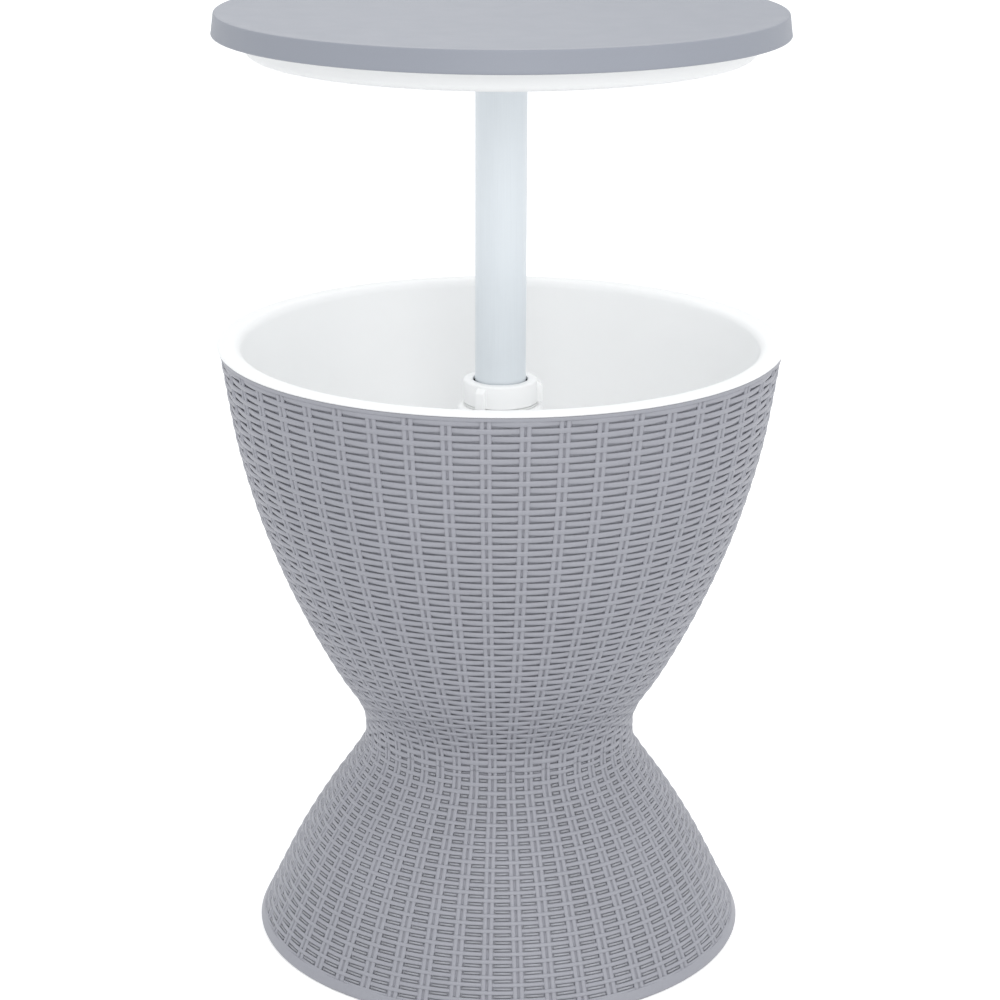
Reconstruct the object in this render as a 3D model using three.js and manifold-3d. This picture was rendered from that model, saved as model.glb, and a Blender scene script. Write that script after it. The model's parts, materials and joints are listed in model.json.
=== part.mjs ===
// Ice bucket coffee table: a round top on a pole that slides down into a woven-look bowl
// with a white liner. Shut it is a coffee table, raised it is a bar table over an ice bucket.
// Millimetres, +Z up, origin on the floor under the middle, with the top raised.
import * as THREE from 'three';
import { mergeVertices } from 'three/addons/utils/BufferGeometryUtils.js';
import Module from 'manifold-3d';

const wasm = await Module();
wasm.setup();

// Driving dimensions of the whole table
const overall_height = 840;
const closed_height = 571.3;
const top_radius = 247;
const top_skirt_depth = 18.8;
const lid_drop = 18.2;
const bucket_depth = 290;
const waist_height = 188;
const waist_radius = 123.3;
const base_radius = 224.2;
const pole_radius = 22.5;

// Clearances: faces that touch, pieces that slide or turn, and how far a cut runs past
const seat_gap = 0.3;
const running_gap = 0.3;
const thread_gap = 0.25;
const overrun = 2;

// How finely round things are divided
const round_sides = 36;
const bore_sides = 24;
const small_sides = 12;
const screw_sides = 6;
const arc_step = Math.PI / 18;

// The dish sits inside the skirt, and the rim and the bowl stand just proud of the top's edge
const lid_margin = 22.5;
const rim_proud = 2.4;
const bowl_inset = 1.3;
const lid_radius = top_radius - lid_margin;
const rim_radius = top_radius + rim_proud;
const bowl_rim_radius = rim_radius - bowl_inset;

// Heights that the pieces share
const web_thickness = 3.3;
const base_nut_height = 15;
const lift_travel = overall_height - closed_height;
const skirt_bottom_z = overall_height - top_skirt_depth;
const rim_top_z = skirt_bottom_z - lift_travel - seat_gap;
const floor_z = rim_top_z - bucket_depth;
const deck_high = waist_height - seat_gap;
const deck_low = deck_high - web_thickness;
const base_nut_low = deck_low - seat_gap - base_nut_height;

// Forms: outlines are loops of [radius, height], turned round the axis
function closedBody(geometry) {
  geometry.deleteAttribute('normal');
  geometry.deleteAttribute('uv');
  const merged = mergeVertices(geometry);
  const corners = Array.from(merged.index.array);
  const kept = [];
  for (let i = 0; i < corners.length; i += 3) {
    const [a, b, c] = corners.slice(i, i + 3);
    if (a !== b && b !== c && c !== a) kept.push(a, b, c);
  }
  const positions = new Float32Array(merged.attributes.position.array);
  const facing = signedVolume(positions, kept) < 0 ? flipped(kept) : kept;
  return new wasm.Manifold(new wasm.Mesh({
    numProp: 3,
    vertProperties: positions,
    triVerts: new Uint32Array(facing),
  }));
}

function signedVolume(positions, corners) {
  const a = new THREE.Vector3();
  const b = new THREE.Vector3();
  const c = new THREE.Vector3();
  let sum = 0;
  for (let i = 0; i < corners.length; i += 3) {
    a.fromArray(positions, 3 * corners[i]);
    b.fromArray(positions, 3 * corners[i + 1]);
    c.fromArray(positions, 3 * corners[i + 2]);
    sum += a.dot(b.cross(c));
  }
  return sum;
}

function flipped(corners) {
  const turned = [];
  for (let i = 0; i < corners.length; i += 3) turned.push(corners[i], corners[i + 2], corners[i + 1]);
  return turned;
}

function revolved(outline, sides) {
  const points = outline.map(([radius, height]) => new THREE.Vector2(radius, height));
  const closes = outline[0][0] > 0 || outline.at(-1)[0] > 0;
  if (closes) points.push(points[0].clone());
  return closedBody(new THREE.LatheGeometry(points, sides).rotateX(Math.PI / 2));
}

// A plate of the given outline in the plane of radius and height, turned to an angle round the axis
function radialPlate(outline, thickness, angle) {
  const shape = new THREE.Shape(outline.map(([radius, height]) => new THREE.Vector2(radius, height)));
  const plate = new THREE.ExtrudeGeometry(shape, { depth: thickness, bevelEnabled: false });
  plate.translate(0, 0, -thickness / 2);
  plate.rotateX(Math.PI / 2);
  plate.rotateZ(angle);
  return closedBody(plate);
}

// A piece of a ring between two angles, from low to high
function ringSector(inner, outer, from_angle, to_angle, low, high) {
  const steps = Math.max(1, Math.round((to_angle - from_angle) / arc_step));
  const angles = Array.from({ length: steps + 1 },
    (_, i) => from_angle + (to_angle - from_angle) * i / steps);
  const arc = (radius) => angles.map((angle) => (
    new THREE.Vector2(radius * Math.cos(angle), radius * Math.sin(angle))));
  const shape = new THREE.Shape([...arc(outer), ...arc(inner).reverse()]);
  const block = new THREE.ExtrudeGeometry(shape, { depth: high - low, bevelEnabled: false });
  return closedBody(block.translate(0, 0, low));
}

function rod(radius, low, high, sides) {
  return revolved([[0, low], [radius, low], [radius, high], [0, high]], sides);
}

function placedAt(solid, radius, angle) {
  return solid.translate([radius * Math.cos(angle), radius * Math.sin(angle), 0]);
}

// The same solid several times round the axis, as one
function aroundAxis(count, first_angle, make) {
  let all = null;
  for (let i = 0; i < count; i++) {
    const one = make(first_angle + 2 * Math.PI * i / count);
    all = all ? all.add(one) : one;
  }
  return all;
}

function piece(name, solid, color, roughness, metalness) {
  const { numProp, vertProperties, triVerts } = solid.getMesh();
  const geometry = new THREE.BufferGeometry();
  geometry.setAttribute('position', new THREE.BufferAttribute(new Float32Array(vertProperties), numProp));
  geometry.setIndex(Array.from(triVerts));
  geometry.computeVertexNormals();
  const mesh = new THREE.Mesh(geometry, new THREE.MeshStandardMaterial({ color, roughness, metalness }));
  mesh.name = name;
  return mesh;
}

const grey_plastic = [0xa3a5ae, 0.6, 0];
const white_plastic = [0xf4f5f6, 0.45, 0];
const dark_acetal = [0x3a3c40, 0.5, 0];
const milky_silicone = [0xb3b5b3, 0.85, 0];
const satin_aluminium = [0xc3c9d2, 0.35, 1];
const zinc_steel = [0xb8bbc0, 0.35, 1];

// Screws: a domed head under the flange, its shank pointing up from the head's seat
const screw_radius = 1.9;
const screw_head_radius = 4;
const screw_head_height = 2;
const screw_dome_share = 0.6;
const screw_tip_share = 0.4;

function screw(seat_z, length) {
  const head_low = seat_z - screw_head_height;
  return revolved([
    [0, head_low],
    [screw_head_radius * screw_dome_share, head_low],
    [screw_head_radius, seat_z],
    [screw_radius, seat_z],
    [screw_radius * screw_tip_share, seat_z + length],
    [0, seat_z + length],
  ], screw_sides);
}

function screwHole(low, high) {
  return rod(screw_radius + thread_gap, low, high, screw_sides);
}

// Rings of screws start half a step round, so that they stand clear of ribs and webs
function onScrewCircle(solid, count, circle) {
  return aroundAxis(count, Math.PI / count, (angle) => placedAt(solid, circle, angle));
}

function screwHoles(count, circle, low, high) {
  return onScrewCircle(screwHole(low, high), count, circle);
}

// Table top: a moulded disc with a low raised lip, a draughted skirt and ribs underneath
const top_plate = 3.4;
const top_wall = 3;
const top_draught = 2.3;
const top_edge_drop = 1.4;
const top_edge_inset = 1.4;
const top_edge_shares = [[1, 0], [0.87, 0.5], [0.5, 0.87], [0, 1]];
const lip_width = 6;
const lip_height = 1.6;
const lip_slope = 9;
const skirt_toe = 1;
const rib_thickness = 2.4;
const rib_depth = 11;
const ring_rib_depth = 9;
const rib_count = 12;
const hub_rib_margin = 10;
const mid_rib_share = 0.607;
const boss_radius = 5;
const pan_screw_count = 6;
const socket_screw_count = 4;
const socket_screw_circle = 46;

const lip_outer = top_radius - top_draught - top_edge_inset;
const surface_z = overall_height - lip_height;
const plate_under_z = surface_z - top_plate;
const skirt_inner = top_radius - top_wall;

// Lid pan: the white dish under the top, which closes the bucket
const pan_wall = 2.5;
const pan_taper = 4.5;
const pan_corner = 7;
const pan_corner_shares = [[0, 0], [0.5, 0.13], [0.87, 0.5], [1, 1]];
const pan_flange_rise = 2.4;
const pan_flange_margin = 3;
const pan_bottom_z = skirt_bottom_z - lid_drop;
const pan_flange_low = skirt_bottom_z + pan_flange_rise;
const pan_flange_high = pan_flange_low + pan_wall;
const pan_hole_radius = pole_radius + running_gap + seat_gap;
const pan_flange_radius = skirt_inner - pan_flange_margin;
const pan_screw_circle = (lid_radius + pan_flange_radius) / 2;

// Pole socket: a flanged sleeve under the middle of the top, which holds the pole's upper end
const socket_wall = 4;
const socket_flange_radius = 56;
const socket_flange_thickness = 4;
const socket_flange_drop = 9;
const socket_gusset_count = 4;
const socket_gusset_thickness = 2.5;
const socket_floor_gap = 0.5;
const socket_low = pan_bottom_z + pan_wall + seat_gap;
const socket_high = plate_under_z - seat_gap;
const socket_bore = pole_radius + seat_gap;
const socket_outer = socket_bore + socket_wall;
const socket_flange_high = plate_under_z - socket_flange_drop;
const socket_flange_low = socket_flange_high - socket_flange_thickness;
const socket_boss_low = socket_flange_high + seat_gap;

function tableTop() {
  const edge = top_edge_shares.map(([inset, rise]) => [
    lip_outer + top_edge_inset * inset,
    overall_height - top_edge_drop + top_edge_drop * rise,
  ]);
  let top = revolved([
    [0, surface_z],
    [lip_outer - lip_width - lip_slope, surface_z],
    [lip_outer - lip_width, overall_height],
    ...edge.reverse(),
    [top_radius, skirt_bottom_z + skirt_toe],
    [top_radius - skirt_toe, skirt_bottom_z],
    [skirt_inner, skirt_bottom_z],
    [skirt_inner - top_draught, plate_under_z - top_wall],
    [skirt_inner - top_draught - top_wall, plate_under_z],
    [0, plate_under_z],
  ], round_sides);
  const hub_rib_radius = socket_flange_radius + hub_rib_margin;
  const mid_rib_radius = top_radius * mid_rib_share;
  const rib_low = plate_under_z - rib_depth;
  const rib_high = plate_under_z + top_plate / 2;
  const rib_end = lid_radius - pan_wall - pan_taper;
  top = top.add(aroundAxis(rib_count, 0, (angle) => radialPlate([
    [hub_rib_radius, rib_low],
    [rib_end, rib_low],
    [rib_end, rib_high],
    [hub_rib_radius, rib_high],
  ], rib_thickness, angle)));
  for (const radius of [hub_rib_radius, mid_rib_radius]) {
    top = top.add(revolved([
      [radius - rib_thickness / 2, plate_under_z - ring_rib_depth],
      [radius + rib_thickness / 2, plate_under_z - ring_rib_depth],
      [radius + rib_thickness / 2, rib_high],
      [radius - rib_thickness / 2, rib_high],
    ], 2 * rib_count));
  }
  const pan_boss_low = pan_flange_high + seat_gap;
  const bosses = [
    [pan_screw_count, pan_screw_circle, pan_boss_low],
    [socket_screw_count, socket_screw_circle, socket_boss_low],
  ];
  for (const [count, circle, low] of bosses) {
    top = top.add(onScrewCircle(rod(boss_radius, low, rib_high, screw_sides), count, circle));
    top = top.subtract(screwHoles(count, circle, low - overrun, plate_under_z));
  }
  return top;
}

function lidPan() {
  const corner_low = lid_radius - pan_taper - pan_corner;
  const outer_corner = pan_corner_shares.map(([out, up]) => [
    corner_low + pan_corner * out,
    pan_bottom_z + pan_corner * up,
  ]);
  const inner_corner = outer_corner.map(([radius, height]) => [radius - pan_wall, height + pan_wall]);
  const pan = revolved([
    [pan_hole_radius, pan_bottom_z],
    ...outer_corner,
    [lid_radius, pan_flange_low],
    [pan_flange_radius, pan_flange_low],
    [pan_flange_radius, pan_flange_high],
    [lid_radius - pan_wall, pan_flange_high],
    ...inner_corner.reverse(),
    [pan_hole_radius, pan_bottom_z + pan_wall],
  ], round_sides);
  return pan.subtract(screwHoles(pan_screw_count, pan_screw_circle, pan_flange_low - overrun,
    pan_flange_high + overrun));
}

function poleSocket() {
  let socket = revolved([
    [socket_bore, socket_low],
    [socket_outer, socket_low],
    [socket_outer, socket_flange_low],
    [socket_flange_radius, socket_flange_low],
    [socket_flange_radius, socket_flange_high],
    [socket_outer, socket_flange_high],
    [socket_outer, socket_high],
    [socket_bore, socket_high],
  ], bore_sides);
  socket = socket.add(aroundAxis(socket_gusset_count, 0, (angle) => radialPlate([
    [socket_outer - socket_wall / 2, socket_low + socket_floor_gap],
    [socket_outer + socket_wall, socket_low + socket_floor_gap],
    [socket_screw_circle + screw_head_radius, socket_flange_low],
    [socket_screw_circle, socket_flange_high - socket_flange_thickness / 2],
    [socket_outer - socket_wall / 2, socket_flange_high - socket_flange_thickness / 2],
  ], socket_gusset_thickness, angle)));
  socket = socket.subtract(screwHoles(socket_screw_count, socket_screw_circle, socket_flange_low - overrun,
    socket_flange_high + overrun));
  return socket.subtract(poleScrewHoles());
}

// Pole: a satin aluminium tube, fixed in the socket and closed below by the locking foot
const pole_wall = 1.8;
const pole_top_gap = 0.5;
const pole_inner = pole_radius - pole_wall;
const pole_high = plate_under_z - pole_top_gap;

// Two screws cross the socket's sleeve into the pole, just above the pan
const pole_screw_rise = 7.5;
const pole_screw_z = socket_low + pole_screw_rise;
const pole_screw_angle = Math.PI / 4;

function crossing(radius, from_radius, to_radius, height, angle, sides) {
  return rod(radius, from_radius, to_radius, sides)
    .rotate([0, 90, angle * 180 / Math.PI])
    .translate([0, 0, height]);
}

function poleScrewHoles() {
  return aroundAxis(2, pole_screw_angle, (angle) =>
    crossing(screw_radius + thread_gap, pole_inner - overrun, socket_outer + overrun, pole_screw_z, angle,
      screw_sides));
}

// Column collar: the white ring nut on the middle of the bucket, round the pole
const collar_recess = 36.2;
const collar_height = 20.7;
const collar_wall = 2.4;
const collar_lip = 3.5;
const collar_hole_radius = 24.5;
const collar_edge = 1.6;
const collar_grip_count = 3;
const collar_grip_reach = 4.5;
const collar_grip_width = 9;
const collar_top_z = rim_top_z - collar_recess;
const collar_low_z = collar_top_z - collar_height;

// Guide tube: runs from the collar through the bucket's column and the waist into the foot
const tube_wall = 2.5;
const tube_inner = 27.7;
const tube_outer = tube_inner + tube_wall;
const tube_foot_room = 13;

// Guide bush: a flanged sleeve in the tube's mouth, held down by the collar
const bush_flange = 2.6;
const bush_length = 57;
const bush_high = collar_top_z - collar_lip - seat_gap;
const bush_low = bush_high - bush_length;
const bush_outer = tube_inner - seat_gap;
const bush_bore = pole_radius + running_gap;
const tube_high = bush_high - bush_flange - seat_gap;

// Locking foot: a plug in the pole's lower end, with two lugs and a journal for the shoe
const lug_height = 10;
const lug_angle = Math.PI / 3;
const foot_flange = 3;
const foot_insert = 34;
const foot_core_share = 0.68;
const foot_screw_length = 20;
const journal_radius = 15.7;
const lug_radius = tube_inner - running_gap;
const lug_high = bush_low - seat_gap;
const lug_low = lug_high - lug_height;
const foot_flange_high = lug_high + foot_flange;
const pole_low = foot_flange_high + seat_gap;
const foot_plug_radius = pole_inner - seat_gap;

// Guide shoe: slides in the tube's two channels under the lugs and never turns
const shoe_height = 24;
const shoe_angle = Math.PI * 100 / 180;
const shoe_high = lug_low - running_gap;
const shoe_low = shoe_high - shoe_height;
const shoe_bore = journal_radius + running_gap;
const journal_low = shoe_low - running_gap;
const washer_thickness = 2.5;
const washer_radius = 22;
const washer_high = journal_low - seat_gap;
const washer_low = washer_high - washer_thickness;

// Locking ribs: two in the tube, with a notch that takes the lugs when the table is shut
const lock_inner = 25.2;
const lock_angle = Math.PI * 70 / 180;
const lock_stop_angle = Math.PI * 4.4 / 180;
const lock_high = lug_low - running_gap;
const lock_stop_height = 8;
const notch_low = lug_low - lift_travel - running_gap;
const notch_high = lug_high - lift_travel + running_gap;
const tube_end_reach = 20;
const tube_low = Math.min(washer_low - lift_travel - screw_head_height - tube_foot_room,
  base_nut_low - tube_end_reach);
const cap_plug = 8;
const cap_floor = 4;
const cap_drain_radius = 4;
const lock_low = tube_low + cap_plug + seat_gap;

function poleTube() {
  let pole = revolved([
    [pole_inner, pole_low],
    [pole_radius, pole_low],
    [pole_radius, pole_high],
    [pole_inner, pole_high],
  ], bore_sides);
  pole = pole.subtract(poleScrewHoles());
  return pole.subtract(footPinHole());
}

// A rivet pin crosses the pole and the foot's plug
const foot_pin_radius = 2.5;
const foot_pin_rise_share = 0.5;
const foot_pin_inset = 0.2;
const foot_pin_z = pole_low + foot_insert * foot_pin_rise_share;

function footPinHole() {
  const reach = pole_radius + overrun;
  return crossing(foot_pin_radius + thread_gap, -reach, reach, foot_pin_z, 0, screw_sides);
}

function poleFoot() {
  const core = foot_plug_radius * foot_core_share;
  let foot = revolved([
    [0, journal_low],
    [journal_radius, journal_low],
    [journal_radius, lug_low],
    [lock_inner - running_gap, lug_low],
    [lock_inner - running_gap, lug_high],
    [pole_radius, lug_high],
    [pole_radius, foot_flange_high],
    [foot_plug_radius, foot_flange_high],
    [foot_plug_radius, foot_flange_high + foot_insert],
    [core, foot_flange_high + foot_insert],
    [core, foot_flange_high],
    [0, foot_flange_high],
  ], bore_sides);
  foot = foot.add(aroundAxis(2, Math.PI / 2, (angle) => ringSector(
    lock_inner - overrun, lug_radius, angle - lug_angle / 2, angle + lug_angle / 2, lug_low, lug_high)));
  foot = foot.subtract(footPinHole());
  return foot.subtract(screwHole(journal_low - overrun, journal_low + foot_screw_length + seat_gap));
}

function guideShoe() {
  const shoe = revolved([
    [shoe_bore, shoe_low],
    [lock_inner - running_gap, shoe_low],
    [lock_inner - running_gap, shoe_high],
    [shoe_bore, shoe_high],
  ], bore_sides);
  return shoe.add(aroundAxis(2, Math.PI / 2, (angle) => ringSector(
    lock_inner - overrun, lug_radius, angle - shoe_angle / 2, angle + shoe_angle / 2, shoe_low, shoe_high)));
}

function guideTube() {
  const tube = revolved([
    [tube_inner, tube_low],
    [tube_outer, tube_low],
    [tube_outer, tube_high],
    [tube_inner, tube_high],
  ], bore_sides);
  const buried = tube_inner + tube_wall / 2;
  const cut_inner = lock_inner - overrun;
  return tube.add(aroundAxis(2, 0, (angle) => {
    const start = angle - lock_angle / 2;
    const end = angle + lock_angle / 2;
    const stop = end - lock_stop_angle;
    const ledge = ringSector(lock_inner, buried, start, stop, lock_low, lock_high);
    const notch = ringSector(cut_inner, tube_inner, start - lock_stop_angle, end, notch_low, notch_high);
    const wall = ringSector(lock_inner, buried, stop, end, lock_low, lock_high + lock_stop_height);
    return ledge.subtract(notch).add(wall);
  }));
}

function guideBush() {
  return revolved([
    [bush_bore, bush_low],
    [bush_outer, bush_low],
    [bush_outer, bush_high - bush_flange],
    [tube_outer - seat_gap, bush_high - bush_flange],
    [tube_outer - seat_gap, bush_high],
    [bush_bore, bush_high],
  ], bore_sides);
}

function columnCollar() {
  const bore = tube_outer + thread_gap;
  const outer = bore + collar_wall;
  const collar = revolved([
    [bore, collar_low_z],
    [outer, collar_low_z],
    [outer, collar_top_z - collar_edge],
    [outer - collar_edge, collar_top_z],
    [collar_hole_radius, collar_top_z],
    [collar_hole_radius, collar_top_z - collar_lip],
    [bore, collar_top_z - collar_lip],
  ], bore_sides);
  return collar.add(aroundAxis(collar_grip_count, 0, (angle) => radialPlate([
    [outer - collar_wall / 2, collar_low_z],
    [outer + collar_grip_reach, collar_low_z],
    [outer + collar_grip_reach, collar_top_z - collar_edge - collar_grip_reach],
    [outer - collar_wall / 2, collar_top_z - collar_edge],
  ], collar_grip_width, angle)));
}

// Gasket under the collar, which keeps meltwater out of the column
const gasket_thickness = 2;
const gasket_high = collar_low_z - seat_gap;
const gasket_low = gasket_high - gasket_thickness;

function columnGasket() {
  const bore = tube_outer + thread_gap;
  return revolved([
    [bore, gasket_low],
    [bore + collar_wall, gasket_low],
    [bore + collar_wall, gasket_high],
    [bore, gasket_high],
  ], bore_sides);
}

function tubeEndCap() {
  return revolved([
    [cap_drain_radius, tube_low - seat_gap - cap_floor],
    [tube_outer, tube_low - seat_gap - cap_floor],
    [tube_outer, tube_low - seat_gap],
    [tube_inner - seat_gap, tube_low - seat_gap],
    [tube_inner - seat_gap, tube_low + cap_plug],
    [tube_inner - seat_gap - tube_wall, tube_low + cap_plug],
    [tube_inner - seat_gap - tube_wall, tube_low - seat_gap],
    [cap_drain_radius, tube_low - seat_gap],
  ], bore_sides);
}

// The woven-look body swells from a narrow waist up to the rim and out again to the floor.
// Shares of the height from the waist, and of the radius from the waist to the rim or the base.
const bowl_shares = [[0, 0], [0.04, 0.008], [0.085, 0.058], [0.16, 0.196], [0.31, 0.428], [0.5, 0.663],
  [0.74, 0.871], [1, 1]];
const skirt_shares = [[0, 0], [0.04, 0.002], [0.1, 0.038], [0.18, 0.13], [0.34, 0.337], [0.6, 0.632],
  [0.85, 0.865], [1, 1]];
const shell_wall = 3;
const rim_band = 4;
const base_band = 9.5;

// The weave's relief: its stakes run up the body in pairs, and the wall sinks between them to
// twice the weave's mean depth
const weave_depth = 1;
const stake_pairs = 48;
const first_stakes_angle = -Math.PI * 2.75 / 180;

function bowlRadius(height) {
  return radiusAt(bowl_shares, (height - waist_height) / (bowl_top_z - waist_height), bowl_rim_radius);
}

function skirtRadius(height) {
  return radiusAt(skirt_shares, (waist_height - height) / waist_height, base_radius);
}

function radiusAt(shares, share, end_radius) {
  const next = Math.max(1, shares.findIndex(([along]) => along >= share));
  const [low, low_out] = shares[next - 1];
  const [high, high_out] = shares[next];
  const part = Math.min(Math.max((share - low) / (high - low), 0), 1);
  return waist_radius + (end_radius - waist_radius) * (low_out + (high_out - low_out) * part);
}

// A solid body turned round the axis, from points of [radius, height, sink between the stakes]
function woven(outline) {
  const points = outline.map(([radius, height]) => new THREE.Vector2(radius, height));
  const body = new THREE.LatheGeometry(points, 2 * stake_pairs).rotateX(Math.PI / 2);
  const places = body.attributes.position;
  for (let i = 0; i < places.count; i++) {
    const [radius, , sink] = outline[i % outline.length];
    const between_stakes = Math.floor(i / outline.length) % 2;
    const drawn_in = sink > 0 ? 1 - between_stakes * sink / radius : 1;
    places.setXY(i, places.getX(i) * drawn_in, places.getY(i) * drawn_in);
  }
  return closedBody(body.rotateZ(first_stakes_angle));
}

// Points of an outline moved to the inside, square to it, by the wall's thickness
function inset(outline, distance) {
  return outline.map(([radius, height], i) => {
    const [r0, z0] = outline[Math.max(i - 1, 0)];
    const [r1, z1] = outline[Math.min(i + 1, outline.length - 1)];
    const length = Math.hypot(r1 - r0, z1 - z0);
    const along = distance / length;
    return [radius - along * Math.abs(z1 - z0), height + along * (r1 - r0) * Math.sign(z1 - z0)];
  });
}

// Bucket liner: one white moulding with the rim, the bucket's wall and floor, the column and the spout
const liner_wall = 2.5;
const flange_thickness = 3;
const flange_edge = 1.2;
const flange_width = 21.4;
const mouth_round = 8;
const mouth_round_shares = [[1, 1], [0.5, 0.87], [0.13, 0.5], [0, 0]];
const insulation_gap = 18;
const floor_round = 14;
const floor_round_shares = [[0, 1], [0.29, 0.29], [1, 0]];
const column_top_radius = 38;
const column_foot_radius = 52;
const column_round = 5;
const liner_height_shares = [0.68, 0.38, 0.16];
const mouth_radius = rim_radius - flange_width;
const bowl_top_z = rim_top_z - flange_thickness - seat_gap;
const column_top_z = gasket_low - seat_gap;
const column_hole_radius = tube_outer + thread_gap;

// Inner wall of the bucket, which follows the bowl at the insulating distance
function bucketRadius(height) {
  return bowlRadius(height) - shell_wall - insulation_gap;
}

function bucketLiner() {
  const mouth_low = rim_top_z - mouth_round;
  const mouth = mouth_round_shares.map(([out, up]) => [
    mouth_radius + mouth_round * out,
    mouth_low + mouth_round * up,
  ]);
  const wall = liner_height_shares.map((share) => {
    const height = floor_z + (mouth_low - floor_z) * share;
    return [bucketRadius(height), height];
  });
  const foot_radius = bucketRadius(floor_z + floor_round) - floor_round;
  const floor_corner = floor_round_shares.map(([inward, up]) => [
    foot_radius + floor_round * (1 - inward),
    floor_z + floor_round * up,
  ]);
  const column = [
    [column_foot_radius + column_round, floor_z],
    [column_foot_radius, floor_z + column_round],
    [column_top_radius, column_top_z - column_round],
    [column_top_radius - column_round, column_top_z],
  ];
  const liner = revolved([
    ...mouth,
    ...wall,
    ...floor_corner,
    ...column,
    [column_hole_radius, column_top_z],
    [column_hole_radius, column_top_z - liner_wall],
    [column_top_radius - column_round, column_top_z - liner_wall],
    [column_foot_radius - liner_wall, floor_z - liner_wall],
    [foot_radius, floor_z - liner_wall],
    [foot_radius + floor_round, floor_z + liner_wall],
    ...wall.reverse().map(([radius, height]) => [radius + liner_wall, height - liner_wall]),
    [mouth_radius + liner_wall, rim_top_z - flange_thickness],
    [rim_radius - flange_edge, rim_top_z - flange_thickness],
    [rim_radius, rim_top_z - flange_thickness + flange_edge],
    [rim_radius, rim_top_z - flange_edge],
    [rim_radius - flange_edge, rim_top_z],
  ], round_sides);
  return liner.add(drainAligned(rod(spout_outer, 0, spout_end, small_sides)))
    .subtract(drainAligned(rod(spout_bore, -spout_reach_in, spout_end + overrun, small_sides)));
}

// Drain at the back: a spout from the lowest corner of the bucket, square to the bowl's wall
const spout_bore = 8;
const spout_wall = 2.5;
const spout_outer = spout_bore + spout_wall;
const spout_reach_in = 12;
const spout_rise = 10;
const spout_tilt = Math.PI * 27 / 180;
const spout_lead = 0.5;
const drain_radius = bucketRadius(floor_z + floor_round) - liner_wall;
const drain_z = floor_z + spout_rise;
const drain_boss_face = 22.5;
const drain_boss_depth = 9;
const drain_boss_outer = 19;
const nut_thickness = 6;
const nut_outer = 17;
const nut_sides = 8;
const seal_thickness = 1.6;
const seal_outer = 15;
const plug_cap_radius = 14;
const plug_cap_thickness = 5;
const plug_stem = 22;
const plug_tab_thickness = 4;
const plug_tab_reach = 11;
const plug_tab_width = 18;
const seal_low = drain_boss_face + seat_gap;
const nut_low = seal_low + seal_thickness + seat_gap;
const spout_end = nut_low + nut_thickness + spout_lead;
const plug_cap_low = spout_end + seat_gap;

// Turns a solid made round +Z from zero so that it lies on the drain's axis, pointing out and down
function drainAligned(solid) {
  return solid.rotate([-90 - spout_tilt * 180 / Math.PI, 0, 0]).translate([0, drain_radius, drain_z]);
}

function drainSeal() {
  return drainAligned(revolved([
    [spout_outer + thread_gap, seal_low],
    [seal_outer, seal_low],
    [seal_outer, seal_low + seal_thickness],
    [spout_outer + thread_gap, seal_low + seal_thickness],
  ], small_sides));
}

function drainNut() {
  const ring = revolved([
    [0, nut_low],
    [nut_outer, nut_low],
    [nut_outer, nut_low + nut_thickness / 2],
    [nut_outer - nut_thickness / 2, nut_low + nut_thickness],
    [0, nut_low + nut_thickness],
  ], nut_sides);
  const bore = rod(spout_outer + thread_gap, nut_low - overrun, nut_low + nut_thickness + overrun,
    small_sides);
  return drainAligned(ring.subtract(bore));
}

function drainPlug() {
  const stem_radius = spout_bore - running_gap;
  let plug = revolved([
    [0, plug_cap_low - plug_stem],
    [stem_radius - seat_gap, plug_cap_low - plug_stem],
    [stem_radius, plug_cap_low - plug_stem + spout_wall],
    [stem_radius, plug_cap_low],
    [plug_cap_radius, plug_cap_low],
    [plug_cap_radius, plug_cap_low + plug_cap_thickness / 2],
    [plug_cap_radius - plug_cap_thickness / 2, plug_cap_low + plug_cap_thickness],
    [0, plug_cap_low + plug_cap_thickness],
  ], small_sides);
  const tab_low = plug_cap_low + plug_cap_thickness / 2;
  const tab_high = plug_cap_low + plug_cap_thickness + plug_tab_reach;
  const tab = new THREE.BoxGeometry(plug_tab_width, plug_tab_thickness, tab_high - tab_low);
  plug = plug.add(closedBody(tab.translate(0, 0, (tab_low + tab_high) / 2)));
  return drainAligned(plug);
}

// Upper shell: the bowl, with a web at the waist that the screws and the guide tube pass through
const web_hole_radius = tube_outer + thread_gap;
const waist_screw_count = 4;
const waist_screw_circle = 82;
const waist_boss_radius = 6;
const waist_boss_height = 12;
const waist_boss_floor = 2.5;
const shell_toe = 6;

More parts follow.
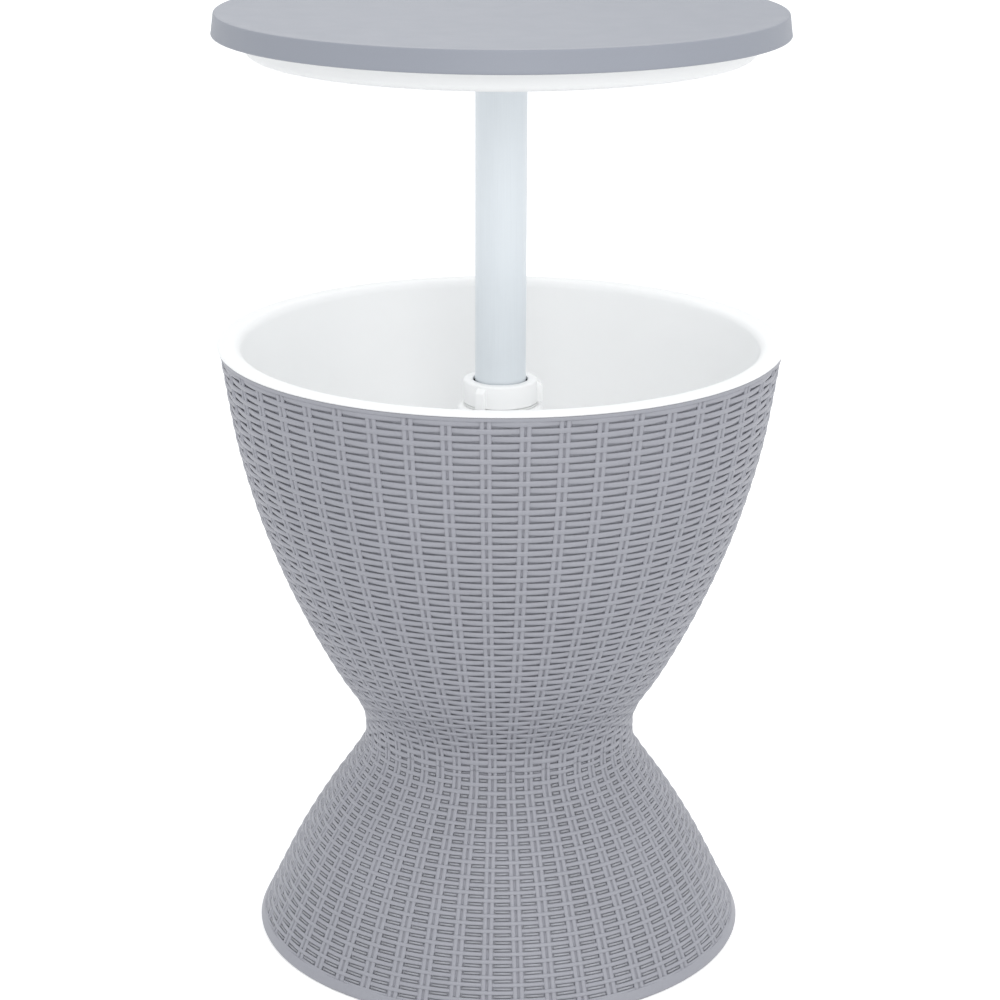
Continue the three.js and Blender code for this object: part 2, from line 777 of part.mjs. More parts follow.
function upperShell() {
  const outline = bowl_shares.map(([along]) => {
    const height = waist_height + (bowl_top_z - waist_height) * along;
    return [bowlRadius(height), height];
  });
  const band_low = bowl_top_z - rim_band;
  const web_high = waist_height + web_thickness;
  const inner = inset(outline.map(([radius, height]) => [radius - weave_depth, height]), shell_wall)
    .filter(([, height]) => height > web_high + shell_toe && height < band_low);
  let shell = woven([
    [0, waist_height, 0],
    ...outline.slice(0, -1).map(([radius, height]) => [radius, height, 2 * weave_depth]),
    [bowlRadius(band_low), band_low - weave_depth, 2 * weave_depth],
    [bowlRadius(band_low), band_low, 0],
    [bowl_rim_radius, bowl_top_z, 0],
    [0, bowl_top_z, 0],
  ]);
  shell = shell.subtract(revolved([
    [0, web_high],
    [waist_radius - weave_depth - shell_wall - web_thickness, web_high],
    ...inner,
    [bowl_rim_radius - weave_depth - shell_wall, bowl_top_z],
    [bowl_rim_radius - weave_depth - shell_wall, bowl_top_z + overrun],
    [0, bowl_top_z + overrun],
  ], round_sides));
  shell = shell.subtract(rod(web_hole_radius, waist_height - overrun, web_high + overrun, bore_sides));
  const boss_high = waist_height + waist_boss_height;
  const boss = rod(waist_boss_radius, waist_height + web_thickness / 2, boss_high, screw_sides);
  const drain_boss_low = drain_boss_face - drain_boss_depth;
  const drain_boss = rod(drain_boss_outer, drain_boss_low, drain_boss_face, small_sides);
  const drain_hole = rod(spout_outer + thread_gap, 0, drain_boss_face + overrun, small_sides);
  shell = shell.add(onScrewCircle(boss, waist_screw_count, waist_screw_circle));
  shell = shell.subtract(screwHoles(waist_screw_count, waist_screw_circle, waist_height - overrun,
    boss_high - waist_boss_floor));
  return shell.add(drainAligned(drain_boss)).subtract(drainAligned(drain_hole));
}

// Lower shell: the flared foot, open below, with a deck at the waist and webs that stiffen it
const web_count = 6;
const web_plate = 2.6;
const web_ring_radius = 50;
const web_ring_depth = 34;
const web_shares = [0.94, 0.78, 0.58, 0.38];
const base_toe = 2;

function lowerShell() {
  const outline = skirt_shares.map(([along]) => {
    const height = waist_height - waist_height * along;
    return [skirtRadius(height), Math.min(height, deck_high)];
  });
  const skin = outline.map(([radius, height]) => [radius - weave_depth, height]);
  const inner = inset(skin.reverse(), shell_wall)
    .filter(([, height]) => height > base_band && height < deck_low - shell_toe);
  const ring_low = deck_low - web_ring_depth;
  let shell = woven([
    [0, deck_high, 0],
    ...outline.filter(([, height]) => height > base_band + weave_depth)
      .map(([radius, height]) => [radius, height, 2 * weave_depth]),
    [skirtRadius(base_band), base_band + weave_depth, 2 * weave_depth],
    [skirtRadius(base_band), base_band, 0],
    [base_radius, base_toe, 0],
    [base_radius - base_toe, 0, 0],
    [0, 0, 0],
  ]);
  shell = shell.subtract(revolved([
    [0, -overrun],
    [base_radius - base_toe - shell_wall, -overrun],
    [base_radius - base_toe - shell_wall, 0],
    [skirtRadius(base_band) - weave_depth - shell_wall, base_band],
    ...inner,
    [waist_radius - weave_depth - shell_wall - web_thickness, deck_low],
    [web_ring_radius + web_plate, deck_low],
    [web_ring_radius + web_plate, ring_low],
    [web_ring_radius, ring_low],
    [web_ring_radius, deck_low],
    [0, deck_low],
  ], round_sides));
  shell = shell.subtract(rod(web_hole_radius, deck_low - overrun, deck_high + overrun, bore_sides));
  const web_high = deck_low + web_thickness / 2;
  const wall_side = web_shares.map((share) => {
    const height = waist_height * share;
    return [skirtRadius(height) - weave_depth - shell_wall / 2, Math.min(height, web_high)];
  });
  shell = shell.add(aroundAxis(web_count, 0, (angle) => radialPlate([
    [web_ring_radius + web_plate / 2, ring_low],
    ...wall_side.slice().reverse(),
    [web_ring_radius + web_plate / 2, web_high],
  ], web_plate, angle)));
  return shell.subtract(screwHoles(waist_screw_count, waist_screw_circle, deck_low - overrun,
    deck_high + overrun));
}

// Base nut: pulls the guide tube down, so that collar, bucket, bowl and foot are held as one
const base_nut_outer = 42;
const base_nut_sides = 12;

function baseNut() {
  const bore = tube_outer + thread_gap;
  const high = base_nut_low + base_nut_height;
  const ring = revolved([
    [0, base_nut_low],
    [base_nut_outer, base_nut_low],
    [base_nut_outer, high],
    [0, high],
  ], base_nut_sides);
  return ring.subtract(rod(bore, base_nut_low - overrun, high + overrun, bore_sides));
}

// Fastenings
const pan_screw_length = 9;
const socket_screw_length = 11;
const waist_screw_length = 13;
const pole_screw_length = 7;

function numbered(name, count, first_angle, make) {
  return Array.from({ length: count }, (_, i) =>
    piece(`${name}_${i + 1}`, make(first_angle + 2 * Math.PI * i / count), ...zinc_steel));
}

function ringOfScrews(name, count, circle, seat_z, length) {
  const one = screw(seat_z - seat_gap, length);
  return numbered(name, count, Math.PI / count, (angle) => placedAt(one, circle, angle));
}

function poleScrews() {
  return numbered('pole_screw', 2, pole_screw_angle, (angle) => screw(0, pole_screw_length)
    .rotate([0, -90, 0])
    .translate([socket_outer + seat_gap, 0, 0])
    .rotate([0, 0, angle * 180 / Math.PI])
    .translate([0, 0, pole_screw_z]));
}

function footPin() {
  const half = pole_radius - foot_pin_inset;
  return crossing(foot_pin_radius, -half, half, foot_pin_z, 0, screw_sides);
}

function shoeWasher() {
  return revolved([
    [screw_radius + thread_gap, washer_low],
    [washer_radius, washer_low],
    [washer_radius, washer_high],
    [screw_radius + thread_gap, washer_high],
  ], small_sides);
}

const table = new THREE.Group();
table.add(
  piece('table_top', tableTop(), ...grey_plastic),
  piece('lid_pan', lidPan(), ...white_plastic),
  ...ringOfScrews('pan_screw', pan_screw_count, pan_screw_circle, pan_flange_low, pan_screw_length),
  piece('pole_socket', poleSocket(), ...grey_plastic),
  ...ringOfScrews('socket_screw', socket_screw_count, socket_screw_circle, socket_flange_low,
    socket_screw_length),
  ...poleScrews(),
  piece('pole_tube', poleTube(), ...satin_aluminium),
  piece('pole_foot', poleFoot(), ...dark_acetal),
  piece('foot_pin', footPin(), ...zinc_steel),
  piece('shoe_washer', shoeWasher(), ...zinc_steel),
  piece('foot_screw', screw(washer_low - seat_gap, foot_screw_length), ...zinc_steel),
);

const carriage = new THREE.Group();
carriage.add(piece('guide_shoe', guideShoe(), ...dark_acetal));

const base = new THREE.Group();
base.add(
  piece('bucket_liner', bucketLiner(), ...white_plastic),
  piece('upper_shell', upperShell(), ...grey_plastic),
  piece('lower_shell', lowerShell(), ...grey_plastic),
  piece('guide_tube', guideTube(), ...white_plastic),
  piece('guide_bush', guideBush(), ...dark_acetal),
  piece('column_collar', columnCollar(), ...white_plastic),
  piece('column_gasket', columnGasket(), ...milky_silicone),
  piece('tube_end_cap', tubeEndCap(), ...dark_acetal),
  piece('base_nut', baseNut(), ...dark_acetal),
  ...ringOfScrews('waist_screw', waist_screw_count, waist_screw_circle, deck_low, waist_screw_length),
  piece('drain_seal', drainSeal(), ...milky_silicone),
  piece('drain_nut', drainNut(), ...grey_plastic),
);

const stopper = new THREE.Group();
stopper.add(piece('drain_plug', drainPlug(), ...dark_acetal));

const model = new THREE.Group();
model.add(table, carriage, base, stopper);

export default model;
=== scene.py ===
import json
import math

import bpy
import numpy as np
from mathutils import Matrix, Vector


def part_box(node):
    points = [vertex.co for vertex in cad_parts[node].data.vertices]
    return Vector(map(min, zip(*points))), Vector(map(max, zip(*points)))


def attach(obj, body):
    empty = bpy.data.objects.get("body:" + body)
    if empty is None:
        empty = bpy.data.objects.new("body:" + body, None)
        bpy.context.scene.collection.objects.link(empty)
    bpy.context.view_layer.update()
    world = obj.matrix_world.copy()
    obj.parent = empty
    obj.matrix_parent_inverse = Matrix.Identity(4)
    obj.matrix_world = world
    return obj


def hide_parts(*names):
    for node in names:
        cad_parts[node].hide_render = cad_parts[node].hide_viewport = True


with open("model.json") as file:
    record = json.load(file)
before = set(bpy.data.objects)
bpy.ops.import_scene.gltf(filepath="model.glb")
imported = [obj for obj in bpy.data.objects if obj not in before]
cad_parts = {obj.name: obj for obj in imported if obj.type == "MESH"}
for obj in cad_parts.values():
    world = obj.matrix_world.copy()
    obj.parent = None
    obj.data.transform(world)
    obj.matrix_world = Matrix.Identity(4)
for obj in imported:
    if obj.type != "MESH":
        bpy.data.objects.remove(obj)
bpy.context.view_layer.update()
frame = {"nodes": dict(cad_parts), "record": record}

# Camera and studio: the table stands on a pale floor that runs out of sight, under wide soft
# lamps, and is seen from a little above its raised top, with the foot's front edge cut off.
camera_height = 1.1290
camera_distance = 2.2865
camera_pitch = math.radians(17.63)
camera_roll = math.radians(0.20)
camera_lens = 96.0
sensor_width = 36.0

bpy.ops.object.select_all(action="DESELECT")
bpy.ops.object.camera_add(location=(0.0, -camera_distance, camera_height))
camera = bpy.context.object
camera.name = "camera"
camera.data.lens = camera_lens
camera.data.sensor_width = sensor_width
camera.rotation_mode = "XYZ"
camera.rotation_euler = (math.pi / 2 - camera_pitch, 0.0, 0.0)
camera.rotation_euler.rotate_axis("Z", camera_roll)
bpy.context.scene.camera = camera
bpy.context.scene.view_settings.view_transform = "Standard"


def arithmetic(tree, operation, *values):
    """One maths node, fed by sockets or plain numbers."""
    node = tree.nodes.new("ShaderNodeMath")
    node.operation = operation
    for socket, value in zip(node.inputs, values):
        if isinstance(value, bpy.types.NodeSocket):
            tree.links.new(value, socket)
        else:
            socket.default_value = value
    return node.outputs[0]


def seen_rays(tree):
    """A mask that is 1 for what the camera sees, straight or mirrored in metal and gloss."""
    path = tree.nodes.new("ShaderNodeLightPath").outputs
    direct = arithmetic(tree, "MAXIMUM", path["Is Camera Ray"], path["Is Glossy Ray"])
    return arithmetic(tree, "MAXIMUM", direct, path["Is Transmission Ray"])


white = (1.0, 1.0, 1.0, 1.0)
room_tint = (0.97, 0.985, 1.0, 1.0)
room_light = 1.0
floor_size = 40.0
floor_drop = 0.0004
floor_white = (0.80, 0.80, 0.80, 1.0)
floor_glow = 0.42
lamp_white = (1.0, 0.99, 0.98)

room = bpy.data.worlds.new("pale_room")
bpy.context.scene.world = room
room.use_nodes = True
nodes, links = room.node_tree.nodes, room.node_tree.links
nodes.clear()
backdrop = nodes.new("ShaderNodeBackground")
backdrop.inputs["Color"].default_value = white
backdrop.inputs["Strength"].default_value = 1.0
around = nodes.new("ShaderNodeBackground")
around.inputs["Color"].default_value = room_tint
around.inputs["Strength"].default_value = room_light
choose = nodes.new("ShaderNodeMixShader")
out = nodes.new("ShaderNodeOutputWorld")
links.new(seen_rays(room.node_tree), choose.inputs[0])
links.new(around.outputs[0], choose.inputs[1])
links.new(backdrop.outputs[0], choose.inputs[2])
links.new(choose.outputs[0], out.inputs["Surface"])

bpy.ops.object.select_all(action="DESELECT")
bpy.ops.mesh.primitive_plane_add(size=floor_size, location=(0.0, 0.0, -floor_drop))
floor = bpy.context.object
floor.name = "studio_floor"
floor_paint = bpy.data.materials.new("studio_floor")
floor_paint.use_nodes = True
nodes, links = floor_paint.node_tree.nodes, floor_paint.node_tree.links
nodes.clear()
paint = nodes.new("ShaderNodeBsdfDiffuse")
paint.inputs["Color"].default_value = floor_white
glow = nodes.new("ShaderNodeEmission")
glow.inputs["Color"].default_value = white
strength = arithmetic(floor_paint.node_tree, "MULTIPLY",
                      seen_rays(floor_paint.node_tree), floor_glow)
links.new(strength, glow.inputs["Strength"])
both = nodes.new("ShaderNodeAddShader")
out = nodes.new("ShaderNodeOutputMaterial")
links.new(paint.outputs[0], both.inputs[0])
links.new(glow.outputs[0], both.inputs[1])
links.new(both.outputs[0], out.inputs["Surface"])
floor.data.materials.append(floor_paint)

for lamp_name, place, aim, width, power in [
    ("lamp_above", (0.3, -0.5, 2.6), (0.0, 0.0, 0.4), 1.6, 2.5),
    ("lamp_front", (0.2, -2.4, 1.9), (0.0, 0.0, 0.45), 1.3, 14.0),
    ("lamp_right", (2.2, -1.6, 1.4), (0.0, 0.0, 0.4), 1.4, 4.0),
    ("lamp_behind", (-0.3, 2.2, 2.2), (0.0, 0.0, 0.45), 1.6, 5.0),
]:
    bpy.ops.object.light_add(type="AREA", location=place)
    lamp = bpy.context.object
    lamp.name = lamp_name
    lamp.data.shape = "DISK"
    lamp.data.size = width
    lamp.data.energy = power
    lamp.data.color = lamp_white
    lamp.rotation_euler = (Vector(aim) - Vector(place)).to_track_quat("-Z", "Y").to_euler()


# Foot: one grey moulding that flares from the waist to the floor. Its wall, deck, inner ring
# and six webs come out of one tool in polypropylene; the woven look is relief on its outside.
waist_height = 0.188
waist_radius = 0.1233
base_radius = 0.2242
bowl_top_z = 0.5489
bowl_rim_radius = 0.2481
skirt_shares = [(0.0, 0.0), (0.04, 0.002), (0.1, 0.038), (0.18, 0.13), (0.34, 0.337), (0.6, 0.632),
                (0.85, 0.865), (1.0, 1.0)]
bowl_shares = [(0.04, 0.008), (0.085, 0.058), (0.16, 0.196), (0.31, 0.428), (0.5, 0.663),
               (0.74, 0.871), (1.0, 1.0)]
base_band = 0.0095
base_toe = 0.002
shell_wall = 0.003
foot_recess = 0.0026
deck_thickness = 0.0033
turning_steps = 192

# the side's curve runs through these heights and radii, from the floor up to the bowl's top
knots = [(waist_height * (1 - away), waist_radius + (base_radius - waist_radius) * outwards)
         for away, outwards in reversed(skirt_shares)]
knots += [(waist_height + (bowl_top_z - waist_height) * away,
           waist_radius + (bowl_rim_radius - waist_radius) * outwards)
          for away, outwards in bowl_shares]
knot_heights = np.array([height for height, _ in knots])
knot_radii = np.array([radius for _, radius in knots])
knot_slopes = np.gradient(knot_radii, knot_heights)


def body_radius(height):
    """Radius of the woven body's crests at a height, on a smooth curve through its knots."""
    height = np.clip(height, knot_heights[0], knot_heights[-1])
    i = np.clip(np.searchsorted(knot_heights, height) - 1, 0, len(knot_heights) - 2)
    span = knot_heights[i + 1] - knot_heights[i]
    t = (height - knot_heights[i]) / span
    return ((2 * t**3 - 3 * t**2 + 1) * knot_radii[i]
            + (t**3 - 2 * t**2 + t) * span * knot_slopes[i]
            + (3 * t**2 - 2 * t**3) * knot_radii[i + 1]
            + (t**3 - t**2) * span * knot_slopes[i + 1])


def side_of_body(low, high, steps, depth):
    """Points along the body's side from one height to another, set in by a depth."""
    reach = 0.001
    points = []
    for height in np.linspace(low, high, steps + 1):
        slope = float(body_radius(height + reach) - body_radius(height - reach)) / (2 * reach)
        tilt = math.hypot(1.0, slope)
        points.append((float(body_radius(height)) - depth / tilt, height + depth * slope / tilt))
    return points


def alone(piece):
    """Only this piece is selected and active."""
    bpy.ops.object.select_all(action="DESELECT")
    piece.select_set(True)
    bpy.context.view_layer.objects.active = piece


doubles_apart = 0.000002


def settled(piece):
    """The piece's place goes into its mesh, with its doubles merged and its faces outwards."""
    alone(piece)
    bpy.ops.object.transform_apply(location=True, rotation=True, scale=True)
    bpy.ops.object.mode_set(mode="EDIT")
    bpy.ops.mesh.select_all(action="SELECT")
    bpy.ops.mesh.remove_doubles(threshold=doubles_apart)
    bpy.ops.mesh.normals_make_consistent(inside=False)
    bpy.ops.object.mode_set(mode="OBJECT")
    return piece


def turned(name, outline, steps=turning_steps, closed=True):
    """A piece turned round the pole's axis: a circle extruded ring by ring along its outline.
    A closed outline comes back to its start; an open one is filled across at both ends."""
    bpy.ops.object.select_all(action="DESELECT")
    radius, height = outline[0]
    bpy.ops.mesh.primitive_circle_add(vertices=steps, radius=radius, location=(0.0, 0.0, height),
                                      fill_type="NOTHING")
    piece = bpy.context.object
    piece.name = name
    bpy.ops.object.transform_apply(location=True)
    bpy.ops.object.mode_set(mode="EDIT")
    bpy.ops.mesh.select_all(action="SELECT")
    if not closed:
        bpy.ops.mesh.edge_face_add()
    for next_radius, next_height in outline[1:] + (outline[:1] if closed else []):
        bpy.ops.mesh.extrude_region_move(
            TRANSFORM_OT_translate={"value": (0.0, 0.0, next_height - height)})
        grow = next_radius / radius
        bpy.ops.transform.resize(value=(grow, grow, 1.0), center_override=(0.0, 0.0, next_height))
        radius, height = next_radius, next_height
    if not closed:
        bpy.ops.mesh.select_all(action="SELECT")
        bpy.ops.mesh.fill_holes(sides=steps)
    bpy.ops.object.mode_set(mode="OBJECT")
    return settled(piece)


def softened(piece, width, segments=2, angle=35.0):
    """Sharp edges are rounded to a width, and the faces shaded smooth up to them."""
    alone(piece)
    if width > 0:
        round_edges = piece.modifiers.new("rounded_edges", "BEVEL")
        round_edges.width = width
        round_edges.segments = segments
        round_edges.limit_method = "ANGLE"
        round_edges.angle_limit = math.radians(angle)
        bpy.ops.object.modifier_apply(modifier=round_edges.name)
    bpy.ops.object.shade_smooth_by_angle(angle=math.radians(angle))
    return piece


def upright_plate(name, outline, thickness, angle):
    """A flat plate that stands in a plane through the axis, drawn as radius and height."""
    mesh = bpy.data.meshes.new(name)
    mesh.from_pydata([(radius, -thickness / 2, height) for radius, height in outline], [],
                     [list(range(len(outline)))])
    piece = bpy.data.objects.new(name, mesh)
    bpy.context.scene.collection.objects.link(piece)
    alone(piece)
    bpy.ops.object.mode_set(mode="EDIT")
    bpy.ops.mesh.select_all(action="SELECT")
    bpy.ops.mesh.extrude_region_move(TRANSFORM_OT_translate={"value": (0.0, thickness, 0.0)})
    bpy.ops.mesh.select_all(action="SELECT")
    bpy.ops.mesh.fill_holes(sides=len(outline))
    bpy.ops.object.mode_set(mode="OBJECT")
    piece.rotation_euler = (0.0, 0.0, angle)
    return settled(piece)


def joined(piece, *others):
    """Several meshes made one piece."""
    bpy.ops.object.select_all(action="DESELECT")
    for other in others:
        other.select_set(True)
    piece.select_set(True)
    bpy.context.view_layer.objects.active = piece
    bpy.ops.object.join()
    return piece


def group_of(name, inputs, outputs):
    """An empty shader group with named inputs and outputs."""
    group = bpy.data.node_groups.new(name, "ShaderNodeTree")
    for kind, label, value in inputs:
        socket = group.interface.new_socket(label, in_out="INPUT", socket_type=kind)
        socket.default_value = value
    for kind, label in outputs:
        group.interface.new_socket(label, in_out="OUTPUT", socket_type=kind)
    return group, group.nodes.new("NodeGroupInput"), group.nodes.new("NodeGroupOutput")


# fine moulded grain: soft pits of two sizes
fine_grain, given, made = group_of(
    "fine_grain", [("NodeSocketFloat", "Scale", 900.0)], [("NodeSocketFloat", "Height")])
speck_ratio = 2.7
speck_share = 0.35
nodes, links = fine_grain.nodes, fine_grain.links
place = nodes.new("ShaderNodeTexCoord")
pits = nodes.new("ShaderNodeTexNoise")
pits.inputs["Detail"].default_value = 3.0
pits.inputs["Roughness"].default_value = 0.55
links.new(place.outputs["Object"], pits.inputs["Vector"])
links.new(given.outputs["Scale"], pits.inputs["Scale"])
specks = nodes.new("ShaderNodeTexVoronoi")
specks.feature = "SMOOTH_F1"
speck_scale = arithmetic(fine_grain, "MULTIPLY", given.outputs["Scale"], speck_ratio)
links.new(place.outputs["Object"], specks.inputs["Vector"])
links.new(speck_scale, specks.inputs["Scale"])
grain_height = arithmetic(fine_grain, "MULTIPLY_ADD", specks.outputs["Distance"], speck_share,
                          pits.outputs["Fac"])
links.new(grain_height, made.inputs["Height"])

# tone of moulded plastic: broad clouds and small flecks darken and lighten the pigment, a little on
# most plastics;
# on the pocket bars the clouds are strong and are painted highlight as well as tone. Worn or thin
# edges come out paler
moulded_tone, given, made = group_of(
    "moulded_tone",
    [("NodeSocketColor", "Pigment", (0.5, 0.5, 0.5, 1.0)), ("NodeSocketFloat", "Clouds", 0.05),
     ("NodeSocketFloat", "Flecks", 0.04), ("NodeSocketFloat", "Fleck Scale", 500.0),
     ("NodeSocketFloat", "Pale Edges", 0.1)],
    [("NodeSocketColor", "Color")])
nodes, links = moulded_tone.nodes, moulded_tone.links
place = nodes.new("ShaderNodeTexCoord")
clouds = nodes.new("ShaderNodeTexNoise")
clouds.inputs["Scale"].default_value = 14.0
clouds.inputs["Detail"].default_value = 2.0
links.new(place.outputs["Object"], clouds.inputs["Vector"])
flecks = nodes.new("ShaderNodeTexNoise")
flecks.inputs["Detail"].default_value = 2.0
links.new(place.outputs["Object"], flecks.inputs["Vector"])
links.new(given.outputs["Fleck Scale"], flecks.inputs["Scale"])
shape = nodes.new("ShaderNodeNewGeometry")
edge = nodes.new("ShaderNodeMapRange")
edge.inputs["From Min"].default_value = 0.52
edge.inputs["From Max"].default_value = 0.60
links.new(shape.outputs["Pointiness"], edge.inputs["Value"])
tone = 1.0
for pattern, share in [(clouds, "Clouds"), (flecks, "Flecks")]:
    shift = arithmetic(moulded_tone, "SUBTRACT", pattern.outputs["Fac"], 0.5)
    tone = arithmetic(moulded_tone, "MULTIPLY_ADD", shift, given.outputs[share], tone)
tone = arithmetic(moulded_tone, "MULTIPLY_ADD", edge.outputs["Result"],
                  given.outputs["Pale Edges"], tone)
toned = nodes.new("ShaderNodeVectorMath")
toned.operation = "SCALE"
links.new(given.outputs["Pigment"], toned.inputs[0])
links.new(tone, toned.inputs["Scale"])
links.new(toned.outputs["Vector"], made.inputs["Color"])

# gloss that varies in patches, as handled and washed plastic does
patchy_gloss, given, made = group_of(
    "patchy_gloss", [("NodeSocketFloat", "Roughness", 0.5), ("NodeSocketFloat", "Spread", 0.1)],
    [("NodeSocketFloat", "Roughness")])
nodes, links = patchy_gloss.nodes, patchy_gloss.links
place = nodes.new("ShaderNodeTexCoord")
patches = nodes.new("ShaderNodeTexNoise")
patches.inputs["Scale"].default_value = 45.0
patches.inputs["Detail"].default_value = 4.0
links.new(place.outputs["Object"], patches.inputs["Vector"])
swing = arithmetic(patchy_gloss, "SUBTRACT", patches.outputs["Fac"], 0.5)
uneven = arithmetic(patchy_gloss, "MULTIPLY_ADD", swing, given.outputs["Spread"],
                    given.outputs["Roughness"])
links.new(uneven, made.inputs["Roughness"])
plastic_ior = 1.49


def effect(material, group, **values):
    """A shared effect placed in a material, with its own values. It gives the effect's outputs."""
    node = material.node_tree.nodes.new("ShaderNodeGroup")
    node.node_tree = group
    for label, value in values.items():
        node.inputs[label.replace("_", " ")].default_value = value
    return node.outputs


def in_relief(material, height, depth):
    """The surface catches the light as a relief of a depth in metres would."""
    tree = material.node_tree
    bump = tree.nodes.new("ShaderNodeBump")
    bump.inputs["Distance"].default_value = depth
    tree.links.new(height, bump.inputs["Height"])
    tree.links.new(bump.outputs["Normal"], tree.nodes["Principled BSDF"].inputs["Normal"])


def moulded_plastic(name, pigment, roughness, spread=0.12, clouds=0.05, flecks=0.05,
                    fleck_scale=500.0, pale=0.1, grain=900.0, grain_depth=0.00004, sheen=0.5):
    """A moulded plastic: toned pigment, patchy gloss and a fine grain."""
    material = bpy.data.materials.new(name)
    material.use_nodes = True
    links = material.node_tree.links
    surface = material.node_tree.nodes["Principled BSDF"].inputs
    surface["IOR"].default_value = plastic_ior
    surface["Specular IOR Level"].default_value = sheen
    tone = effect(material, moulded_tone, Pigment=(*pigment, 1.0), Clouds=clouds, Flecks=flecks,
                  Fleck_Scale=fleck_scale, Pale_Edges=pale)
    links.new(tone["Color"], surface["Base Color"])
    gloss = effect(material, patchy_gloss, Roughness=roughness, Spread=spread)
    links.new(gloss["Roughness"], surface["Roughness"])
    in_relief(material, effect(material, fine_grain, Scale=grain)["Height"], grain_depth)
    return material


woven_plastic = moulded_plastic("woven_grey_plastic", (0.332, 0.336, 0.373), 0.44, clouds=0.08,
                                flecks=0.10, fleck_scale=420.0, pale=0.06)


def finished(piece, material, body, slot_name, *nodes_replaced):
    """The piece gets its material and its CAD body, and the CAD nodes it stands for are hidden.
    slot_name is not used.
    """
    piece.data.materials.clear()
    piece.data.materials.append(material)
    if nodes_replaced:
        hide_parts(*nodes_replaced)
    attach(piece, body)
    return piece


deck_high = waist_height - 0.0003
deck_low = deck_high - deck_thickness
tube_clear_radius = 0.03045
web_ring_radius = 0.050
web_plate = 0.0026
web_ring_low = deck_low - 0.034
band_step = 0.0008
deck_curve_low = 0.174
deck_edge_radius = waist_radius - 0.0075
foot_wall = turned("foot_wall", [
    (tube_clear_radius, deck_high),
    *side_of_body(deck_high, base_band + band_step, 42, foot_recess),
    (float(body_radius(base_band)), base_band),
    *side_of_body(base_band - 2 * band_step, base_toe, 3, 0.0),
    (base_radius - base_toe, 0.0),
    (base_radius - base_toe - shell_wall, 0.0),
    *side_of_body(base_band, deck_curve_low, 30, foot_recess + shell_wall),
    (deck_edge_radius, deck_low),
    (web_ring_radius + web_plate, deck_low),
    (web_ring_radius + web_plate, web_ring_low),
    (web_ring_radius, web_ring_low),
    (web_ring_radius, deck_low),
    (tube_clear_radius, deck_low),
])
web_count = 6
web_foot, web_head = 0.0715, 0.177
webs = [upright_plate("foot_web", [
    (web_ring_radius + web_plate / 2, web_ring_low),
    *side_of_body(web_foot, web_head, 8, foot_recess + shell_wall / 2),
    (web_ring_radius + web_plate / 2, deck_low + deck_thickness / 2),
], web_plate, 2 * math.pi * k / web_count) for k in range(web_count)]
shell_edge_round = 0.0004
foot_wall = softened(joined(foot_wall, *webs), shell_edge_round)
finished(foot_wall, woven_plastic, "base", "grey_plastic", "lower_shell")


# Woven look of the body: round stakes run up it in pairs, and flatter weavers pass over one pair
# and under the next, all in relief on the moulding. A strand is drawn flat and wrapped round.
pair_count = 48
pair_step = 2 * math.pi / pair_count
pair_start = math.radians(-2.75) - math.pi / 2
row_pitch = 0.00661
bowl_rows = 58
bowl_first_row = 0.5433
foot_rows = 31
foot_first_row = 0.0098
foot_even_rows = 25
foot_wide_pitch = 0.0071
row_seam = 0.00001
wave_steps = 8
dip_sharpness = 0.55
# a strand's section in shares of its width and its thickness: one weaver, and two stakes in one
weaver_section = [(-0.5, -0.18), (-0.41, 0.30), (-0.18, 0.48), (0.18, 0.48), (0.41, 0.30),
                  (0.5, -0.18), (0.0, -0.5)]
pair_section = [(-0.5, -0.45), (-0.47, 0.10), (-0.39, 0.40), (-0.26, 0.48), (-0.14, 0.36),
                (-0.09, 0.05), (-0.065, -0.45), (0.065, -0.45), (0.09, 0.05), (0.14, 0.36),
                (0.26, 0.48), (0.39, 0.40), (0.47, 0.10), (0.5, -0.45), (0.0, -0.7)]

side_heights = np.linspace(0.0, bowl_top_z, 1200)
side_radii = body_radius(side_heights)
side_steps = np.hypot(np.diff(side_heights), np.diff(side_radii))
side_lengths = np.concatenate([[0.0], np.cumsum(side_steps)])


def along_side(height):
    """Distance up the body's side from the floor to a height."""
    return float(np.interp(height, side_heights, side_lengths))


foot_start = along_side(foot_first_row)
foot_even_top = foot_start + foot_even_rows * row_pitch


def row_place(up):
    """Distance up the side of a point of the flat weave: below the waist the rows widen out."""
    last_row = foot_start + (foot_rows - 1) * row_pitch
    below_waist = np.clip(up, foot_even_top, last_row) - foot_even_top
    return up + below_waist * (foot_wide_pitch / row_pitch - 1) * (up < along_side(waist_height))


def wrapped(piece, lateral):
    """Bends a flat piece round the body: across in pairs of stakes, up in metres along the side,
    and forwards in metres out of it. lateral gives a point's angle round the axis."""
    count = len(piece.data.vertices)
    flat = np.empty(count * 3)
    piece.data.vertices.foreach_get("co", flat)
    across, outwards, up = flat.reshape(-1, 3).T
    height = np.interp(row_place(up), side_lengths, side_heights)
    radius = body_radius(height)
    reach = 0.002
    slope = (body_radius(height + reach) - body_radius(height - reach)) / (2 * reach)
    tilt = np.hypot(1.0, slope)
    angle = lateral(across, height, radius)
    distance = radius + outwards / tilt
    bent = np.stack([distance * np.cos(angle), distance * np.sin(angle),
                     height - outwards * slope / tilt], axis=1)
    piece.data.vertices.foreach_set("co", bent.ravel())
    piece.data.update()
    piece = settled(piece)
    alone(piece)
    bpy.ops.object.shade_smooth()
    return piece


def repeated(piece, count, offset):
    """The piece several times in a row, each joined to the one before."""
    alone(piece)
    row = piece.modifiers.new("repeated", "ARRAY")
    row.count = count
    row.use_relative_offset = False
    row.use_constant_offset = True
    row.constant_offset_displace = offset
    row.use_merge_vertices = True
    row.merge_threshold = row_seam
    bpy.ops.object.modifier_apply(modifier=row.name)
    return piece


